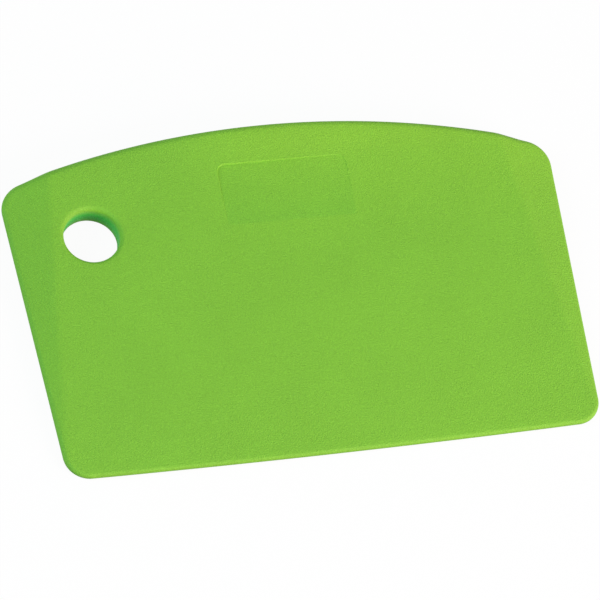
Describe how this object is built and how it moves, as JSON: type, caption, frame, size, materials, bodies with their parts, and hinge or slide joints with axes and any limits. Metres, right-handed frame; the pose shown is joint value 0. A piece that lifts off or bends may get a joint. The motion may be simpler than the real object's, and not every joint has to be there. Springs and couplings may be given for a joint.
{
  "type": "pan scraper",
  "caption": "Hand scraper moulded as a tapering plate, with a straight thin blade, an arched thick grip, bevelled sides and a hanging hole.",
  "frame": {"origin": "on the back face, below the middle of the outline's box", "axes": "+X along the blade, to the right as seen from the face with the pocket; +Y from the blade to the grip; +Z out of that face"},
  "size_m": [0.146, 0.0918, 0.0089],
  "materials": {
    "lime_plastic": "fine matte grain, as moulded"
  },
  "bodies": {
    "root": {"scraper_plate": "lime_plastic"}
  },
  "joints": []
}
